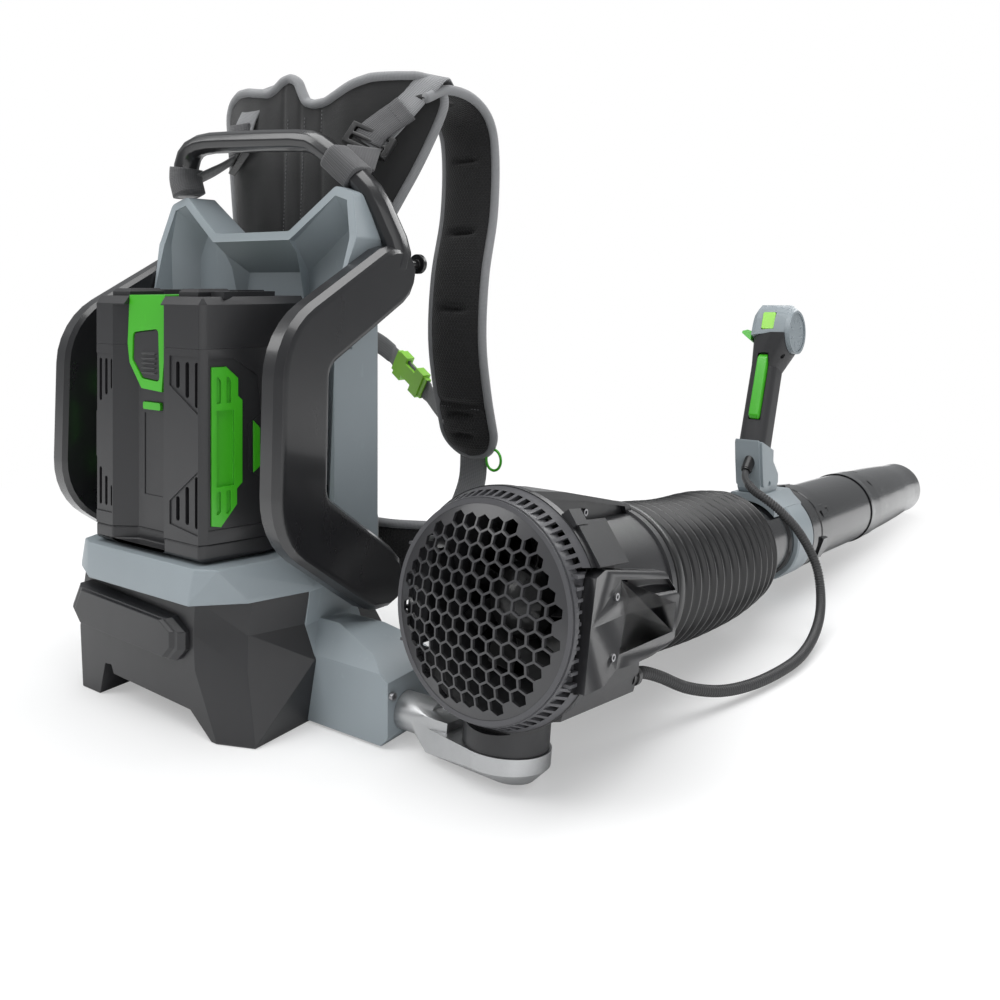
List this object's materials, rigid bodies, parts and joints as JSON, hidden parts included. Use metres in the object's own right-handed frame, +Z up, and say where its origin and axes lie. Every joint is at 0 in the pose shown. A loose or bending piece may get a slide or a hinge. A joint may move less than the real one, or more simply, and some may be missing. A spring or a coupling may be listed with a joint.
{
  "type": "backpack leaf blower",
  "caption": "Battery-powered backpack leaf blower: padded pack frame, pivoting fan unit, ribbed bellows, outlet tube and a control grip.",
  "frame": {"origin": "on the ground, in the middle plane of the pack, under the back face of its shell", "axes": "+Z up, +Y towards the wearer's back and the nozzle, +X towards the side that carries the blower"},
  "size_m": [0.6519, 1.245, 0.6443],
  "materials": {
    "charcoal_plastic": "fine grained moulding",
    "black_plastic": "satin moulding",
    "slate_plastic": "satin moulding",
    "green_plastic": "satin moulding",
    "lime_plastic": "satin moulding",
    "cast_metal": "cast, satin",
    "steel": "plain",
    "webbing": "ribbed webbing",
    "pad_fabric": "mesh over foam",
    "rubber": "satin rubber"
  },
  "bodies": {
    "pack": {"base_housing": "charcoal_plastic", "badge_plate": "charcoal_plastic", "shelf": "slate_plastic", "back_shell": "slate_plastic", "battery_rails": "black_plastic", "terminal_block": "black_plastic", "controller": "cast_metal", "bearing_block": "slate_plastic", "carry_handle": "charcoal_plastic", "side_loop_right": "black_plastic", "side_loop_left": "black_plastic", "accessory_stud": "black_plastic", "pack_screws": "steel", "back_pad": "pad_fabric", "lumbar_pad": "pad_fabric", "yoke": "pad_fabric", "shoulder_pad_right": "pad_fabric", "shoulder_pad_left": "pad_fabric", "lifter_right": "webbing", "lifter_left": "webbing", "slide_buckles": "black_plastic", "lower_strap_right": "webbing", "lower_strap_left": "webbing", "sternum_strap": "webbing", "sternum_buckle": "lime_plastic", "waist_belt": "pad_fabric"},
    "battery": {"battery_case": "charcoal_plastic", "battery_top": "charcoal_plastic", "battery_bottom": "charcoal_plastic", "latch_strip": "green_plastic", "vent_panels": "green_plastic", "side_inserts": "green_plastic"},
    "latch": {"latch_button": "charcoal_plastic"},
    "gauge": {"gauge_button": "green_plastic"},
    "arm": {"pivot_arm": "cast_metal"},
    "blower": {"fan_housing": "charcoal_plastic", "guard_ring": "charcoal_plastic", "intake_grille": "charcoal_plastic", "side_cover_right": "charcoal_plastic", "side_cover_left": "charcoal_plastic", "motor": "cast_metal", "housing_screws": "steel", "cable_gland": "black_plastic", "conduit": "rubber"},
    "fan": {"fan": "black_plastic"},
    "tube": {"bellows": "rubber", "front_tube": "black_plastic", "clamp_ring": "slate_plastic", "bayonet_collar": "black_plastic", "outer_tube": "black_plastic", "nozzle": "black_plastic", "knuckle": "slate_plastic", "grip": "charcoal_plastic", "head": "slate_plastic", "end_cap": "slate_plastic", "grommet": "rubber"},
    "palm_bar": {"palm_bar": "green_plastic"},
    "trigger": {"trigger": "green_plastic"},
    "boost": {"boost_button": "lime_plastic"},
    "cruise": {"cruise_lever": "green_plastic"}
  },
  "joints": [
    {"name": "battery_slide", "type": "slide", "parent": "pack", "child": "battery", "axis": [0, 0, 1], "range_m": [0, 0.26]},
    {"name": "latch_press", "type": "slide", "parent": "battery", "child": "latch", "axis": [0, 1, 0], "range_m": [0, 0.003], "stiffness_N_per_m": 1500},
    {"name": "gauge_press", "type": "slide", "parent": "battery", "child": "gauge", "axis": [0, 1, 0], "range_m": [0, 0.0015], "stiffness_N_per_m": 600},
    {"name": "arm_pivot", "type": "hinge", "parent": "pack", "child": "arm", "pos_m": [0.2, -0.066, 0.027], "axis": [1, 0, 0], "range_deg": [-12, 60]},
    {"name": "blower_swivel", "type": "hinge", "parent": "arm", "child": "blower", "pos_m": [0.33, -0.066, 0.027], "axis": [0, 0.1478, 0.989], "range_deg": [-25, 6]},
    {"name": "fan_spin", "type": "hinge", "parent": "blower", "child": "fan", "pos_m": [0.33, -0.04945, 0.13777], "axis": [0.0349, 0.9884, -0.1477], "continuous": true},
    {"name": "tube_swing", "type": "hinge", "parent": "blower", "child": "tube", "pos_m": [0.33977, 0.22731, 0.09641], "axis": [0, 0.1478, 0.989], "range_deg": [-12, 12], "deforming": ["bellows", "conduit"]},
    {"name": "palm_press", "type": "hinge", "parent": "tube", "child": "palm_bar", "pos_m": [0.3599, 0.49151, 0.30647], "axis": [0.9969, -0.0776, 0.0116], "range_deg": [0, 4], "stiffness_Nm_per_rad": 1.2},
    {"name": "trigger_pull", "type": "hinge", "parent": "tube", "child": "trigger", "pos_m": [0.35988, 0.51316, 0.28078], "axis": [0.9969, -0.0776, 0.0116], "range_deg": [-10, 0], "stiffness_Nm_per_rad": 0.8},
    {"name": "boost_press", "type": "slide", "parent": "tube", "child": "boost", "axis": [0.0758, 0.9148, -0.3967], "range_m": [0, 0.003], "stiffness_N_per_m": 800},
    {"name": "cruise_turn", "type": "hinge", "parent": "tube", "child": "cruise", "pos_m": [0.33928, 0.51441, 0.33517], "axis": [-0.9969, 0.0776, -0.0116], "range_deg": [0, 40]}
  ]
}
